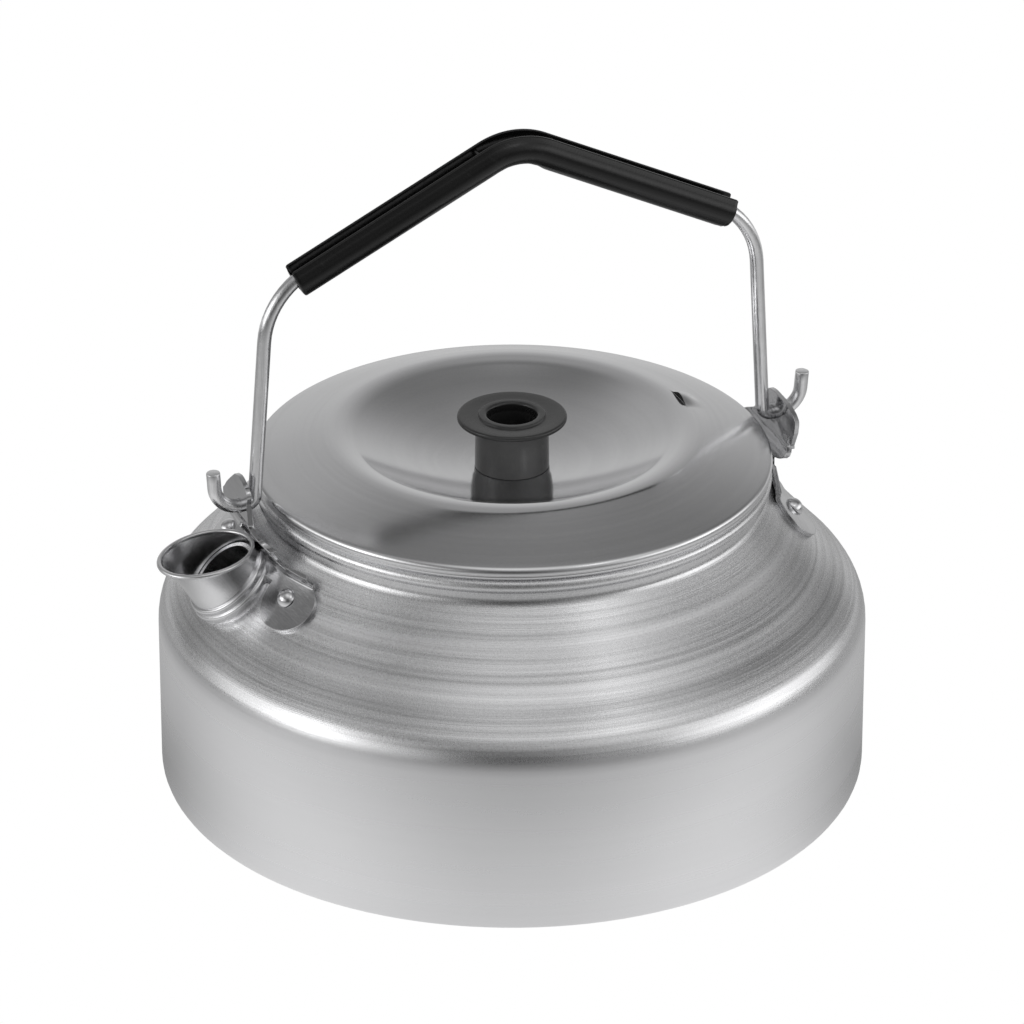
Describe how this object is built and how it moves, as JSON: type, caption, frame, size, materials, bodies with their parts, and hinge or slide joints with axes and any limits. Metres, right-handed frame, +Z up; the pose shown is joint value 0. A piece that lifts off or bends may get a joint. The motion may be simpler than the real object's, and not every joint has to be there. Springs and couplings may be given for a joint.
{
  "type": "camp_kettle_with_folding_bail",
  "caption": "Squat spun metal camp kettle with a short flared spout, a lift-off lid with a spool knob and a folding wire bail for pouring and hanging over a fire.",
  "frame": {"origin": "centre of the flat base, on the surface the kettle stands on", "axes": "+Z up, spout towards -X, the bail's hinge axis parallel to X, the pictured side towards -Y"},
  "size_m": [0.1842, 0.18, 0.1768],
  "materials": {
    "spun_sheet": "satin, turned in fine circles",
    "bright_sheet": "bright stamped sheet",
    "rivet_metal": "bright",
    "wire_metal": "drawn wire",
    "grip_plastic": "fine satin",
    "knob_plastic": "satin"
  },
  "bodies": {
    "kettle": {"body_shell": "spun_sheet", "spout": "spun_sheet", "front_bracket": "bright_sheet", "rear_bracket": "bright_sheet", "front_rivet_left": "rivet_metal", "front_rivet_right": "rivet_metal", "rear_rivet_left": "rivet_metal", "rear_rivet_right": "rivet_metal"},
    "bail": {"bail_wire": "wire_metal", "bail_grip": "grip_plastic"},
    "lid_set": {"lid": "spun_sheet", "lid_knob": "knob_plastic", "knob_rivet": "rivet_metal", "knob_washer": "rivet_metal"}
  },
  "joints": [
    {"name": "bail_hinge", "type": "hinge", "parent": "kettle", "child": "bail", "pos_m": [0, 0, 0.08728], "axis": [1, 0, 0], "range_deg": [-100, 100]},
    {"name": "lid_lift", "type": "slide", "parent": "kettle", "child": "lid_set", "axis": [0, 0, 1], "range_m": [0, 0.012]}
  ]
}
